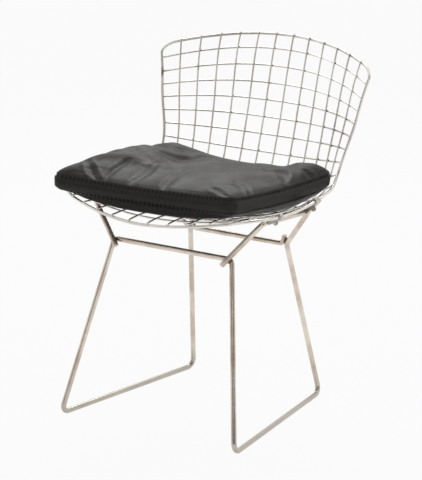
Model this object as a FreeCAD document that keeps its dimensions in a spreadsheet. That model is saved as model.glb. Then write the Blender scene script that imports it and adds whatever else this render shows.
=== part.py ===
import FreeCAD, Part
import os
from math import cos, exp, pi, sin, sqrt, tan

# Wire mesh side chair: a welded wire shell on a bent rod base, with a loose leather seat pad.
# Millimetres. +Z is up, the sitter faces -Y, and the origin is on the floor under the middle.

Vector = FreeCAD.Vector
doc = FreeCAD.newDocument("wire_mesh_chair")
sheet = doc.addObject("Spreadsheet::Sheet", "Sizes")

# Driving dimensions. Each one has an alias in the sheet.
driving = {
    # wires of the shell
    "gridWireDiameter": 4.0,
    "rimWireDiameter": 6.4,
    "weldGap": 0.05,
    "longWireCount": 12,
    "firstCrossWire": 32.7,
    "crossWirePitch": 38.25,
    "topCornerAcross": 35.5,
    "topCornerDown": 21,
    "frontCornerAcross": 87,
    "frontCornerBack": 83.5,
    # bent rods of the base
    "rodDiameter": 11.2,
    "floorBendRadius": 17,
    "barBendRadius": 13,
    "strutBendRadius": 14,
    "stubBendRadius": 10,
    "frontFootX": 222,
    "frontFootY": 261.5,
    "rearFootX": 167.5,
    "rearFootY": 169.3,
    "frontBarX": 149,
    "frontBarY": 161.5,
    "frontBarZ": 385,
    "rearBarX": 125,
    "rearBarY": 93,
    "rearBarZ": 357,
    "tailLength": 15,
    "tailInset": 6,
    "stubHeight": 19,
    "stubLean": 5,
    # straight run of the base under each side of the shell
    "runX": 215,
    "runFrontY": 147,
    "runRearY": 34,
    "runDrop": 13,
    # clamps that join the run to the rim
    "clampLength": 14,
    "clampThickness": 6,
    "clampInset": 24,
    "clampLip": 5.5,
    "clampBite": 3,
    "clampSplit": 0.4,
    "grooveClearance": 0.2,
    "boltDiameter": 6,
    "boltClearance": 0.2,
    "boltHeadDiameter": 10.5,
    "boltHeadHeight": 3.4,
    "nutAcrossFlats": 10,
    "nutHeight": 5,
    "boltStickOut": 1.5,
    # loose seat pad: places of its seam corners, then heights over the floor and thicknesses
    "padFrontLeftX": -238,
    "padFrontLeftY": -268,
    "padFrontRightX": 197,
    "padFrontRightY": -236,
    "padRearRightX": 222,
    "padRearRightY": 123,
    "padRearLeftX": -202,
    "padRearLeftY": 108,
    "padFrontSeamZ": 504,
    "padRearSeamZ": 492,
    "padFrontSag": 6,
    "padRearSag": 12,
    "padSideSag": 8,
    "padLeftRise": 15,
    "padBoxing": 31.5,
    "padCrown": 25,
    "padLeftHump": 27,
    "padRearLeftHump": 11,
    "padRearRightHump": 18,
    "padRearLean": 7,
    "padCornerRadius": 18,
    "padSideDraw": 3,
    "padClearance": 0.35,
    "coverThickness": 1.4,
    "fillingClearance": 0.15,
}

# Cross sections of the shell from the top rim to the front rim: depth and height of the middle,
# half width, depth and height of the side edge, how late the curve turns up, and how far
# the long wires spread from the middle.
sectionMeasures = ("CentreY", "CentreZ", "HalfWidth", "SideY", "SideZ", "Turn", "Spread")
sections = {
    "top": (282.3, 773.0, 270.0, 188.4, 737.4, 2.03, 0.05),
    "shoulder": (270.8, 740.7, 261.6, 180.5, 708.2, 2.08, 0.09),
    "back": (240.7, 631.4, 246.4, 160.6, 625.4, 2.45, 0.13),
    "waist": (206.9, 522.6, 227.6, 139.6, 543.4, 3.2, 0.21),
    "bend": (169.7, 453.7, 228.2, 107.7, 500.9, 3.4, 0.2),
    "seatRear": (105.0, 431.0, 240.7, 58.5, 495.4, 3.14, 0.2),
    "seatMiddle": (-7.5, 434.9, 240.8, -18.9, 484.9, 2.87, 0.2),
    "seatFront": (-155.5, 464.0, 241.0, -130.0, 485.7, 2.37, 0.2),
    "front": (-285.4, 469.5, 261.0, -213.8, 502.7, 1.78, 0.16),
}


def fillSheet():
    row = 1
    for alias, value in driving.items():
        writeCell(row, alias, value)
        row += 1
    for section, values in sections.items():
        for measure, value in zip(sectionMeasures, values):
            writeCell(row, section + measure, value)
            row += 1
    doc.recompute()


def writeCell(row, alias, value):
    sheet.set("A%d" % row, alias)
    sheet.set("B%d" % row, str(value))
    sheet.setAlias("B%d" % row, alias)


def size(alias):
    return float(sheet.get(alias))


fillSheet()

gridRadius = size("gridWireDiameter") / 2
rimRadius = size("rimWireDiameter") / 2
rodRadius = size("rodDiameter") / 2
weldGap = size("weldGap")


# The shell surface lies between the two layers of grid wires. Distances down the shell are
# measured along its middle line from the top rim.

def smoothLine(points, distances):
    line = Part.BSplineCurve()
    line.interpolate(Points=points, Parameters=distances)
    return line


def measure(section, name):
    return size(section + name)


middlePoints = [Vector(0, measure(s, "CentreY"), measure(s, "CentreZ")) for s in sections]
sidePoints = [Vector(measure(s, "HalfWidth"), measure(s, "SideY"), measure(s, "SideZ")) for s in sections]
shapePoints = [Vector(measure(s, "Turn"), measure(s, "Spread"), 0) for s in sections]
distances = [0.0]
for before, after in zip(middlePoints, middlePoints[1:]):
    distances.append(distances[-1] + before.distanceToPoint(after))
shellLength = distances[-1]
stations = dict(zip(sections, distances))
middleLine = smoothLine(middlePoints, distances)
sideLine = smoothLine(sidePoints, distances)
shapeLine = smoothLine(shapePoints, distances)


def shellPointInside(across, down):
    middle = middleLine.value(down)
    side = sideLine.value(down)
    shape = shapeLine.value(down)
    reach = across * (1 + shape.y * (1 - across * across))
    rise = abs(reach) ** shape.x
    return Vector(side.x * reach, middle.y + (side.y - middle.y) * rise,
                  middle.z + (side.z - middle.z) * rise)


def shellPoint(across, down):
    """point of the shell; across is -1 to 1, and past an end the shell runs on straight"""
    inside = min(max(down, 0.0), shellLength)
    point = shellPointInside(across, inside)
    if down == inside:
        return point
    step = 1.0 if down < 0 else -1.0
    slope = (shellPointInside(across, inside + step) - point) * step
    return point + slope * (down - inside)


def shellNormal(across, down):
    """unit direction from the shell towards the sitter"""
    step = 0.5
    acrossStep = 0.004
    alongAcross = shellPoint(across + acrossStep, down) - shellPoint(across - acrossStep, down)
    alongDown = shellPoint(across, down + step) - shellPoint(across, down - step)
    return alongDown.cross(alongAcross).normalize()


def layerPoint(across, down, height):
    return shellPoint(across, down) + shellNormal(across, down) * height


# Outline of the shell: straight edges with an elliptic corner at the top and at the front.

topAcross = size("topCornerAcross") / measure("top", "HalfWidth")
topDown = size("topCornerDown")
frontAcross = size("frontCornerAcross") / measure("seatFront", "HalfWidth")
frontBack = size("frontCornerBack")


def outlineTop(across):
    """distance down the shell where a long wire leaves the top rim"""
    past = max(abs(across) - (1 - topAcross), 0) / topAcross
    return topDown * (1 - sqrt(1 - min(past, 1) ** 2))


def outlineFront(across):
    past = max(abs(across) - (1 - frontAcross), 0) / frontAcross
    return shellLength - frontBack * (1 - sqrt(1 - min(past, 1) ** 2))


def outlineSide(down):
    """how far across the shell reaches at a distance down it"""
    if down < topDown:
        return 1 - topAcross * (1 - sqrt(1 - (1 - down / topDown) ** 2))
    past = down - (shellLength - frontBack)
    if past > 0:
        return 1 - frontAcross * (1 - sqrt(1 - (past / frontBack) ** 2))
    return 1.0


def outline():
    """places round the right half of the outline, from the top middle to the front middle"""
    places = []
    topSpans, cornerSpans, sideSpans, frontSpans = 6, 6, 20, 5
    for k in range(topSpans):
        places.append(((1 - topAcross) * k / topSpans, 0.0))
    for k in range(cornerSpans):
        turn = pi / 2 * k / cornerSpans
        places.append((1 - topAcross * (1 - sin(turn)), topDown * (1 - cos(turn))))
    sideLength = shellLength - topDown - frontBack
    for k in range(sideSpans):
        places.append((1.0, topDown + sideLength * k / sideSpans))
    for k in range(cornerSpans):
        turn = pi / 2 * k / cornerSpans
        places.append((1 - frontAcross * (1 - cos(turn)), shellLength - frontBack * (1 - sin(turn))))
    for k in range(frontSpans + 1):
        places.append(((1 - frontAcross) * (1 - k / frontSpans), shellLength))
    return places


# Wires are many-sided bars through sections set square to the wire.

def section(centre, along, up, radius, sides):
    along = Vector(along).normalize()
    sideways = along.cross(up).normalize()
    upright = sideways.cross(along)
    corners = []
    for k in range(sides):
        turn = 2 * pi * k / sides
        corners.append(centre + upright * (radius * cos(turn)) + sideways * (radius * sin(turn)))
    return Part.makePolygon(corners + corners[:1])


def tangents(points, closed=False):
    count = len(points)
    result = []
    for k in range(count):
        if closed:
            result.append(points[(k + 1) % count] - points[k - 1])
        else:
            result.append(points[min(k + 1, count - 1)] - points[max(k - 1, 0)])
    return result


def bar(points, ups, radius, sides):
    rings = [section(p, t, up, radius, sides) for p, t, up in zip(points, tangents(points), ups)]
    return Part.makeLoft(rings, True, True)


def hoop(points, ups, radius, sides):
    rings = [section(p, t, up, radius, sides) for p, t, up in zip(points, tangents(points, True), ups)]
    faces = []
    for before, after in zip(rings, rings[1:] + rings[:1]):
        faces.extend(Part.makeLoft([before, after], False, True).Faces)
    return Part.makeSolid(Part.makeShell(faces))


def addShape(label, shape):
    feature = doc.addObject("Part::Feature", label)
    feature.Shape = shape
    feature.Placement = FreeCAD.Placement()
    feature.Label = label
    return feature


parts = []


def addRim():
    right = outline()
    left = [(-across, down) for across, down in reversed(right[1:-1])]
    depth = -(rimRadius + weldGap)
    points = [layerPoint(across, down, depth) for across, down in right + left]
    ups = [shellNormal(across, down) for across, down in right + left]
    parts.append(addShape("rim_wire", hoop(points, ups, rimRadius, 8)))


def addLongWires():
    count = int(size("longWireCount"))
    height = gridRadius + weldGap
    overlap = 0.8 * rimRadius  # the ends lie on the rim, a little past its middle
    spans = 20
    for number in range(count):
        across = 2 * (number + 1) / (count + 1) - 1
        start = outlineTop(across) - overlap
        end = outlineFront(across) + overlap
        downs = [start + (end - start) * k / spans for k in range(spans + 1)]
        points = [layerPoint(across, down, height) for down in downs]
        ups = [shellNormal(across, down) for down in downs]
        label = "long_wire_%02d" % (number + 1)
        parts.append(addShape(label, bar(points, ups, gridRadius, 6)))


def crossWireDowns():
    """distances down the shell of the cross wires, the last one clear of the front rim"""
    downs = []
    down = size("firstCrossWire")
    while down < shellLength - 0.6 * size("crossWirePitch"):
        downs.append(down)
        down += size("crossWirePitch")
    return downs


def addCrossWires():
    depth = -(gridRadius + weldGap)
    spans = 14
    for number, down in enumerate(crossWireDowns()):
        reach = outlineSide(down)
        end = buttEnd(reach, down, depth)
        acrosses = [end * (2 * k / spans - 1) for k in range(spans + 1)]
        points = [layerPoint(across, down, depth) for across in acrosses]
        ups = [shellNormal(across, down) for across in acrosses]
        label = "cross_wire_%02d" % (number + 1)
        parts.append(addShape(label, bar(points, ups, gridRadius, 6)))


endSamples = 12


def buttEnd(reach, down, depth):
    """how far across a cross wire runs before its end meets the rim"""
    step = 1.0
    rimDepth = -(rimRadius + weldGap)
    before = layerPoint(outlineSide(down - step), down - step, rimDepth)
    after = layerPoint(outlineSide(down + step), down + step, rimDepth)
    rimCentre = layerPoint(reach, down, rimDepth)
    rimAlong = (after - before).normalize()
    low, high = 0.8 * reach, reach
    for _ in range(20):
        middle = (low + high) / 2
        if endClearance(middle, down, depth, rimCentre, rimAlong) > weldGap:
            low = middle
        else:
            high = middle
    return low


def endClearance(across, down, depth, rimCentre, rimAlong):
    """smallest distance from the cut end of a cross wire to the side of the rim"""
    acrossStep = 0.005
    centre = layerPoint(across, down, depth)
    along = centre - layerPoint(across - acrossStep, down, depth)
    along.normalize()
    sideways = along.cross(shellNormal(across, down)).normalize()
    upright = sideways.cross(along)
    clearances = []
    for k in range(endSamples):
        turn = 2 * pi * k / endSamples
        corner = centre + upright * (gridRadius * cos(turn)) + sideways * (gridRadius * sin(turn))
        clearances.append((corner - rimCentre).cross(rimAlong).Length - rimRadius)
    return min(clearances)


# Bent rods: straight runs joined by arcs, swept with a many-sided section bound to the sheet.

def bentPath(corners, radii):
    edges = []
    start = corners[0]
    for k in range(1, len(corners) - 1):
        corner = corners[k]
        back = (corners[k - 1] - corner).normalize()
        ahead = (corners[k + 1] - corner).normalize()
        half = back.getAngle(ahead) / 2
        reach = radii[k - 1] / tan(half)
        bisector = (back + ahead).normalize()
        apex = corner + bisector * (radii[k - 1] / sin(half) - radii[k - 1])
        edges.append(Part.LineSegment(start, corner + back * reach).toShape())
        edges.append(Part.Arc(corner + back * reach, apex, corner + ahead * reach).toShape())
        start = corner + ahead * reach
    edges.append(Part.LineSegment(start, corners[-1]).toShape())
    return Part.Wire(edges)


rodSides = 12


def sweptRod(label, path, diameterAlias):
    spine = addShape(label + "_path", path)
    first = path.Edges[0]
    start = first.valueAt(first.FirstParameter)
    along = first.tangentAt(first.FirstParameter)
    ring = doc.addObject("Part::RegularPolygon", label + "_section")
    ring.Polygon = rodSides
    ring.setExpression("Circumradius", "Sizes.%s / 2" % diameterAlias)
    ring.Placement = FreeCAD.Placement(start, FreeCAD.Rotation(Vector(0, 0, 1), along))
    rod = doc.addObject("Part::Sweep", label)
    rod.Sections = [ring]
    rod.Spine = (spine, ["Edge%d" % (k + 1) for k in range(len(path.Edges))])
    rod.Solid = True
    rod.Frenet = False
    rod.Label = label
    return rod


def mirrored(point):
    return Vector(-point.x, point.y, point.z)


def bothSides(right):
    """a run of corners on the right carried on by its mirror image on the left"""
    return right + [mirrored(corner) for corner in reversed(right)]


def acrossAt(down, depth, x):
    """how far across a wire of one layer passes over a given x"""
    low, high = 0.0, 1.0
    for _ in range(30):
        middle = (low + high) / 2
        if layerPoint(middle, down, depth).x < x:
            low = middle
        else:
            high = middle
    return low


def runHeight():
    """height of the front end of the run, as high as the cross wires above it allow"""
    depth = -(gridRadius + weldGap)
    runX, drop = size("runX"), size("runDrop")
    front, rear = -size("runFrontY"), size("runRearY")
    heights = []
    for down in crossWireDowns():
        across = acrossAt(down, depth, runX)
        wire = layerPoint(across, down, depth)
        if wire.y < front or wire.y > rear:
            continue
        lean = layerPoint(across + 0.01, down, depth) - layerPoint(across - 0.01, down, depth)
        apart = (gridRadius + rodRadius + weldGap) * lean.Length / abs(lean.x)
        heights.append(wire.z - apart + drop * (wire.y - front) / (rear - front))
    return min(heights)


runX = size("runX")
runFrontZ = runHeight()
runFront = Vector(runX, -size("runFrontY"), runFrontZ)
runRear = Vector(runX, size("runRearY"), runFrontZ - size("runDrop"))
frontBar = Vector(size("frontBarX"), -size("frontBarY"), size("frontBarZ"))
rearBar = Vector(size("rearBarX"), size("rearBarY"), size("rearBarZ"))
frontFoot = Vector(size("frontFootX"), -size("frontFootY"), rodRadius)
rearFoot = Vector(size("rearFootX"), size("rearFootY"), rodRadius)


def frontStrutPass():
    """where the tail of the front strut crosses the front bar, touching its front face"""
    beside = frontBar - Vector(size("tailInset"), 0, 0)
    apart = size("rodDiameter") + weldGap
    passing = beside - Vector(0, apart, 0)
    for _ in range(4):
        lean = runFront - passing
        steep = sqrt(lean.y ** 2 + lean.z ** 2) / abs(lean.z)
        passing = beside - Vector(0, apart * steep, 0)
    return passing


def basePath():
    passing = frontStrutPass()
    tail = passing + (passing - runFront).normalize() * size("tailLength")
    right = [tail, runFront, runRear, rearBar, rearFoot, frontFoot, frontBar]
    strut, bar, floor = size("strutBendRadius"), size("barBendRadius"), size("floorBendRadius")
    radii = [strut, strut, bar, floor, floor, bar]
    return bentPath(bothSides(right), radii + radii[::-1])


def rearBarPath(x):
    """path of the rear bar with its right corner at x and its ends bent up"""
    corner = Vector(x, rearBar.y, rearBar.z)
    end = corner + Vector(size("stubLean"), 0, size("stubHeight"))
    return bentPath(bothSides([end, corner]), [size("stubBendRadius")] * 2)


def addBaseRod():
    parts.append(sweptRod("base_rod", basePath(), "rodDiameter"))


def addRearBar():
    """the rear bar lies between the rear corners of the base, its stubs welded to them"""
    wanted = size("rodDiameter") + weldGap
    base = basePath()
    low, high = rearBar.x - 3 * wanted, rearBar.x
    for _ in range(20):
        middle = (low + high) / 2
        if rearBarPath(middle).distToShape(base)[0] > wanted:
            low = middle
        else:
            high = middle
    parts.append(sweptRod("rear_bar", rearBarPath(low), "rodDiameter"))


# Clamps: two grooved halves hold the run and the rim side by side, with a bolt between them.

def clampDowns():
    """middles of the gaps between cross wires nearest to the two ends of the run"""
    inset = size("clampInset")
    downs = crossWireDowns()
    gaps = [(a + b) / 2 for a, b in zip(downs, downs[1:])]
    chosen = []
    for wanted in (-size("runFrontY") + inset, size("runRearY") - inset):
        seat = [down for down in gaps if down > stations["bend"]]
        chosen.append(min(seat, key=lambda down: abs(shellPoint(1, down).y - wanted)))
    return chosen


grooveSides = 12


def cutterAlong(label, middle, along, length, radiusExpression):
    """a many-sided bar whose flats clear a round of the given radius"""
    cutter = doc.addObject("Part::Prism", label)
    cutter.Polygon = grooveSides
    cutter.Height = length
    cutter.setExpression("Circumradius", "(%s) / cos(180 deg / %d)" % (radiusExpression, grooveSides))
    start = middle - along * (length / 2)
    cutter.Placement = FreeCAD.Placement(start, FreeCAD.Rotation(Vector(0, 0, 1), along))
    return cutter


def cutFrom(label, base, tools):
    for number, tool in enumerate(tools):
        cut = doc.addObject("Part::Cut", "%s_%d" % (label, number + 1))
        cut.Base = base
        cut.Tool = tool
        base = cut
    return base


def clampFrame(side, down):
    """rod point, rim point and rim direction of a clamp on the right (1) or left (-1) side"""
    depth = -(rimRadius + weldGap)
    rim = layerPoint(1, down, depth)
    rimAlong = layerPoint(1, down + 2, depth) - layerPoint(1, down - 2, depth)
    along = (runRear - runFront).normalize()
    crossing = layerPoint(acrossAt(down, depth, runX), down, depth)
    rod = runFront + along * ((crossing.y - runFront.y) / along.y)
    if side < 0:
        rim, rod = mirrored(rim), mirrored(rod)
        rimAlong, along = mirrored(rimAlong), mirrored(along)
    return rod, rim, along, rimAlong.normalize()


def addClamps():
    upper, lower, bolts, nuts = [], [], [], []
    length, thick = size("clampLength"), size("clampThickness")
    for sideName, side in (("left", -1), ("right", 1)):
        for endName, down in zip(("front", "rear"), clampDowns()):
            name = "%s_%s" % (sideName, endName)
            rod, rim, along, rimAlong = clampFrame(side, down)
            out = (rim - rod).normalize()
            up = out.cross(along).normalize()
            up = up if up.z > 0 else up * -1
            width = (rim - rod).Length
            turn = FreeCAD.Rotation(out, along, up, "ZXY")
            boltPlace = rod + out * ((rodRadius + width - rimRadius) / 2)
            for halfName, sign, group in (("upper", 1, upper), ("lower", -1, lower)):
                block = doc.addObject("Part::Box", "clamp_block_%s_%s" % (halfName, name))
                block.Length = width + size("clampLip") - size("clampBite")
                block.setExpression("Width", "Sizes.clampLength")
                block.setExpression("Height", "Sizes.clampThickness - Sizes.clampSplit / 2")
                low = size("clampSplit") / 2 if sign > 0 else -thick
                corner = rod + out * size("clampBite") + up * low
                sideways = turn.multVec(Vector(0, 1, 0))
                corner = corner - sideways * (length / 2)
                block.Placement = FreeCAD.Placement(corner, turn)
                tools = [
                    cutterAlong("rod_groove_%s_%s" % (halfName, name), rod, along, 3 * length,
                                "Sizes.rodDiameter / 2 + Sizes.grooveClearance / 2"),
                    cutterAlong("rim_groove_%s_%s" % (halfName, name), rim, rimAlong, 3 * length,
                                "Sizes.rimWireDiameter / 2 + Sizes.grooveClearance"),
                    cutterAlong("bolt_hole_%s_%s" % (halfName, name), boltPlace, up, 4 * thick,
                                "Sizes.boltDiameter / 2 + Sizes.boltClearance"),
                ]
                group.append(cutFrom("clamp_half_%s_%s" % (halfName, name), block, tools))
            bolts.append(addBolt(name, boltPlace, up))
            nuts.append(addNut(name, boltPlace, up))
    for label, group in (("clamp_upper_halves", upper), ("clamp_lower_halves", lower),
                         ("clamp_bolts", bolts), ("clamp_nuts", nuts)):
        compound = doc.addObject("Part::Compound", label)
        compound.Links = group
        compound.Label = label
        parts.append(compound)


def addBolt(name, place, up):
    thick = size("clampThickness")
    turn = FreeCAD.Rotation(Vector(0, 0, 1), up)
    shank = doc.addObject("Part::Prism", "shank_" + name)
    shank.Polygon = rodSides
    shank.setExpression("Circumradius", "Sizes.boltDiameter / 2")
    shank.setExpression("Height", "2 * Sizes.clampThickness + Sizes.nutHeight + Sizes.boltStickOut")
    low = place - up * (thick + size("nutHeight") + size("boltStickOut"))
    shank.Placement = FreeCAD.Placement(low, turn)
    head = doc.addObject("Part::Prism", "head_" + name)
    head.Polygon = rodSides
    head.setExpression("Circumradius", "Sizes.boltHeadDiameter / 2")
    head.setExpression("Height", "Sizes.boltHeadHeight")
    head.Placement = FreeCAD.Placement(place + up * thick, turn)
    bolt = doc.addObject("Part::Fuse", "bolt_" + name)
    bolt.Base = shank
    bolt.Tool = head
    return bolt


def addNut(name, place, up):
    turn = FreeCAD.Rotation(Vector(0, 0, 1), up)
    low = place - up * (size("clampThickness") + size("nutHeight"))
    prism = doc.addObject("Part::Prism", "hexagon_" + name)
    prism.Polygon = 6
    prism.setExpression("Circumradius", "Sizes.nutAcrossFlats / sqrt(3)")
    prism.setExpression("Height", "Sizes.nutHeight")
    prism.Placement = FreeCAD.Placement(low, turn)
    bore = doc.addObject("Part::Prism", "thread_" + name)
    bore.Polygon = rodSides
    bore.setExpression("Circumradius", "Sizes.boltDiameter / 2 + Sizes.boltClearance")
    bore.setExpression("Height", "Sizes.nutHeight")
    bore.Placement = FreeCAD.Placement(low, turn)
    nut = doc.addObject("Part::Cut", "nut_" + name)
    nut.Base = prism
    nut.Tool = bore
    return nut


# Seat pad: a box-sided cushion that follows the dish of the seat. Its rings run right round
# about the pad's middle, joined from the bottom panel over the two seams to the top panel.

padCorners = [Vector(size("padFrontLeftX"), size("padFrontLeftY"), 0),
              Vector(size("padFrontRightX"), size("padFrontRightY"), 0),
              Vector(size("padRearRightX"), size("padRearRightY"), 0),
              Vector(size("padRearLeftX"), size("padRearLeftY"), 0)]


# Ring sizes as shares of the seam, from the middle of a panel out, and spans round a ring.
padBottomRings = (0.3, 0.55, 0.76, 0.91, 0.97, 1.0)
padTopRings = (0.3, 0.55, 0.76, 0.89, 0.97, 1.0)
padSideSpans = 8
padCornerSpans = 4

# Soft humps of the top panel: the place of each one's middle (u, v) and its reach each way.
padHumps = {
    "padLeftHump": (-0.8, -0.1, 0.35, 0.7),
    "padRearLeftHump": (-0.65, 0.75, 0.4, 0.35),
    "padRearRightHump": (0.76, 0.85, 0.25, 0.3),
}


def padPlan(u, v, lean=0):
    """plan place in the pad; u runs left to right and v front to rear, both -1 to 1, and the
    rear side leans back by the given lean"""
    front = padCorners[0] * ((1 - u) / 2) + padCorners[1] * ((1 + u) / 2)
    rear = padCorners[3] * ((1 - u) / 2) + padCorners[2] * ((1 + u) / 2)
    return front * ((1 - v) / 2) + (rear + Vector(0, lean, 0)) * ((1 + v) / 2)


def wireTop(place):
    """height of the seat's upper wires over a plan place"""
    across, down = place.x / measure("seatMiddle", "HalfWidth"), stations["seatMiddle"] - place.y
    for _ in range(12):
        point = shellPoint(across, down)
        across += (place.x - point.x) / measure("seatMiddle", "HalfWidth")
        down += point.y - place.y
    steep = shellNormal(across, down).z
    return shellPoint(across, down).z + (size("gridWireDiameter") + weldGap + size("padClearance")) / steep


def seamHeight(u, v):
    """height of the bottom seam, carried on over the whole pad"""
    level = size("padFrontSeamZ") * (1 - v) / 2 + size("padRearSeamZ") * (1 + v) / 2
    sag = size("padFrontSag") * (1 - v) / 2 + size("padRearSag") * (1 + v) / 2
    rise = size("padLeftRise") * ((1 - u) / 2) ** 3
    return level - sag * (1 - u * u) + (rise - size("padSideSag")) * (1 - v * v)


def bottomHeight(u, v, spread):
    """the bottom panel drops from its seam to the wires close to the edge, and lies on them"""
    rest = wireTop(padPlan(u, v))
    return rest + max(seamHeight(u, v) - rest, 0) * spread ** 18


def topHeight(u, v, spread):
    height = seamHeight(u, v) + size("padBoxing") + size("padCrown") * (1 - spread ** 2) ** 0.6
    for alias, (middleU, middleV, reachU, reachV) in padHumps.items():
        apart = ((u - middleU) / reachU) ** 2 + ((v - middleV) / reachV) ** 2
        height += size(alias) * exp(-apart) * (1 - spread ** 6)
    return height


def ringPlaces(spread, inset):
    """places (u, v) round a ring: each side drawn in a little, with a rounded corner after it"""
    halfWidth = (padPlan(1, 0) - padPlan(-1, 0)).Length / 2
    halfDepth = (padPlan(0, 1) - padPlan(0, -1)).Length / 2
    radius, draw = size("padCornerRadius") * spread, size("padSideDraw") * spread
    reachU, reachV = spread * halfWidth - inset, spread * halfDepth - inset
    places = []
    for quarter in range(4):
        ahead, aside = (reachU, reachV) if quarter % 2 == 0 else (reachV, reachU)
        side = []
        for k in range(padSideSpans):
            step = 2 * k / padSideSpans - 1
            side.append((step * (ahead - radius), draw * (1 - step * step) - aside))
        for k in range(padCornerSpans):
            turn = pi / 2 * k / padCornerSpans
            side.append((ahead - radius * (1 - sin(turn)), radius * (1 - cos(turn)) - aside))
        for x, y in side:
            for _ in range(quarter):
                x, y = -y, x
            places.append((x / halfWidth, y / halfDepth))
    return places


def padRing(places, heights, lean):
    points = []
    for (u, v), height in zip(places, heights):
        place = padPlan(u, v, lean)
        points.append(Vector(place.x, place.y, height))
    return points


def facet(*corners):
    return Part.Face(Part.makePolygon(list(corners) + [corners[0]]))


def facetedSolid(rings):
    """a closed solid with flat ends and three-cornered facets between its rings"""
    faces = [facet(*rings[0]), facet(*rings[-1])]
    for low, high in zip(rings, rings[1:]):
        for k in range(len(low)):
            faces.append(facet(low[k - 1], low[k], high[k]))
            faces.append(facet(high[k], high[k - 1], low[k - 1]))
    shell = Part.makeShell(faces)
    shell.sewShape()
    return Part.makeSolid(shell)


def padSolid(inset):
    """the pad's form, smaller all round by the inset"""
    rings = []
    for spread in padBottomRings:
        places = ringPlaces(spread, inset)
        heights = [bottomHeight(u, v, spread) + inset for u, v in places]
        if spread == padBottomRings[0]:
            heights = flatHeights(places, heights, max, 0)
        rings.append(padRing(places, heights, 0))
    lean = size("padRearLean")
    for spread in reversed(padTopRings):
        places = ringPlaces(spread, inset)
        heights = [topHeight(u, v, spread) - inset for u, v in places]
        if spread == padTopRings[0]:
            heights = flatHeights(places, heights, min, lean)
        rings.append(padRing(places, heights, lean))
    return facetedSolid(rings)


def flatHeights(places, heights, furthest, lean):
    """heights on one sloping plane through the furthest in of the given heights"""
    plans = [padPlan(u, v, lean) for u, v in places]
    middle = sum(plan.y for plan in plans) / len(plans)
    spreadY = sum((plan.y - middle) ** 2 for plan in plans)
    slope = sum((plan.y - middle) * height for plan, height in zip(plans, heights)) / spreadY
    offsets = [height - slope * (plan.y - middle) for plan, height in zip(plans, heights)]
    level = furthest(offsets)
    return [level + slope * (plan.y - middle) for plan in plans]


def addPad():
    cover = padSolid(0).cut(padSolid(size("coverThickness")))
    filling = padSolid(size("coverThickness") + size("fillingClearance"))
    parts.append(addShape("pad_cover", cover))
    parts.append(addShape("pad_filling", filling))


addRim()
addLongWires()
addCrossWires()
addBaseRod()
addRearBar()
addClamps()
addPad()
doc.recompute()


def checkParts():
    for item in doc.Objects:
        if "Invalid" in item.State or "Error" in item.State:
            raise ValueError("%s failed to recompute: %s" % (item.Label, item.State))
    for part in parts:
        shape = part.Shape
        if shape.isNull() or not shape.isValid() or shape.Volume <= 0 or not shape.Solids:
            raise ValueError("%s has no valid solid" % part.Label)
        print(part.Label, len(shape.Solids), "solid(s), volume %.0f mm3" % shape.Volume)


checkParts()
os.makedirs("parts", exist_ok=True)
for part in parts:
    part.Shape.exportStep("parts/%s.step" % part.Label)
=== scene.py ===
import math

import bmesh
import bpy
import numpy
from mathutils import Matrix, Vector
from mathutils.bvhtree import BVHTree
from mathutils.kdtree import KDTree


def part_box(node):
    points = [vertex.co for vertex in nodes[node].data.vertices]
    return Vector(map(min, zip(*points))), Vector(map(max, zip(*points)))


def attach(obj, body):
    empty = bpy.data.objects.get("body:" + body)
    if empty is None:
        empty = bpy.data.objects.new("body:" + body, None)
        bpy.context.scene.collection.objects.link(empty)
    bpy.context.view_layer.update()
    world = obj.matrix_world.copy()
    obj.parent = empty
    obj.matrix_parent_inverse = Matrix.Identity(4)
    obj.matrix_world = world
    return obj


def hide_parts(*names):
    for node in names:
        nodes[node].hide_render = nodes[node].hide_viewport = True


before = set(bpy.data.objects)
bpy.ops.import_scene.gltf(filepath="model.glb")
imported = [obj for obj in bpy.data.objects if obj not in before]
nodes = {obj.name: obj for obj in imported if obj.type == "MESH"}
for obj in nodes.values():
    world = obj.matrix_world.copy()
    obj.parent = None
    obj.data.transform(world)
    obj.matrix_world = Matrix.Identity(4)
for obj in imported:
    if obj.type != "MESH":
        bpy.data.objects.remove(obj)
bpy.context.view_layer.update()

# Wire mesh side chair with a loose leather seat pad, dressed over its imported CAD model.
# Metres, +Z up, the sitter faces -Y.

mm = 0.001
print("frame loaded:", len(nodes), "nodes")


# Colours and shader nodes

def linearColour(hexColour):
    channels = [int(hexColour[k:k + 2], 16) / 255 for k in (1, 3, 5)]
    return [c / 12.92 if c <= 0.04045 else ((c + 0.055) / 1.055) ** 2.4 for c in channels] + [1.0]


def newMaterial(name):
    material = bpy.data.materials.new(name)
    material.use_nodes = True
    material.node_tree.nodes.clear()
    return material


def addNode(tree, kind, inputs=None, stops=None, **settings):
    node = tree.nodes.new(kind)
    for name, value in settings.items():
        setattr(node, name, value)
    if stops:
        elements = node.color_ramp.elements
        while len(elements) < len(stops):
            elements.new(0.5)
        for element, (position, colour) in zip(elements, stops):
            element.position = position
            element.color = linearColour(colour) if isinstance(colour, str) else [colour] * 3 + [1]
    for socket, value in (inputs or {}).items():
        if isinstance(value, bpy.types.NodeSocket):
            tree.links.new(value, node.inputs[socket])
        else:
            node.inputs[socket].default_value = value
    return node


def perMetre(sizeInMm):
    # texture scale that makes one cell about this size
    return 1 / (sizeInMm * mm)


# Plated wire, nickel under thin chrome: bright and a little warm, with a fine haze from age,
# sparse brown pits, and rust stains where the plating has gone.

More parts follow.
